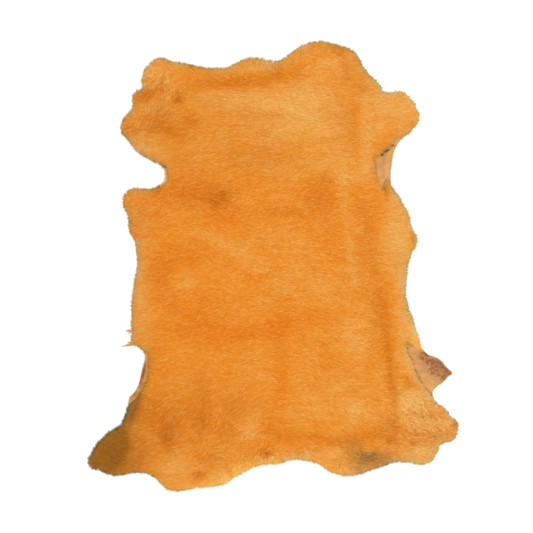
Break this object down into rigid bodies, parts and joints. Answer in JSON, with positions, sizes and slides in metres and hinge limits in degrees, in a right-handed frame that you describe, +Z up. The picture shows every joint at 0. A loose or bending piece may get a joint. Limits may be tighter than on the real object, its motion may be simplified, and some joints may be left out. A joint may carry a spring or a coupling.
{
  "type": "sheepskin rug",
  "caption": "One whole tanned sheepskin lying flat with its short clipped wool up, dyed orange, with bare skin showing behind the legs.",
  "frame": {"origin": "middle of the skin's box, on the surface that it lies on", "axes": "+Y from the rump to the neck, +X to the right seen from above with the wool up, +Z up out of the wool"},
  "size_m": [0.8222, 0.998, 0.0181],
  "materials": {
    "wool": "short combed pile, matt with a soft sheen"
  },
  "bodies": {
    "root": {"sheepskin": "wool"}
  },
  "joints": []
}
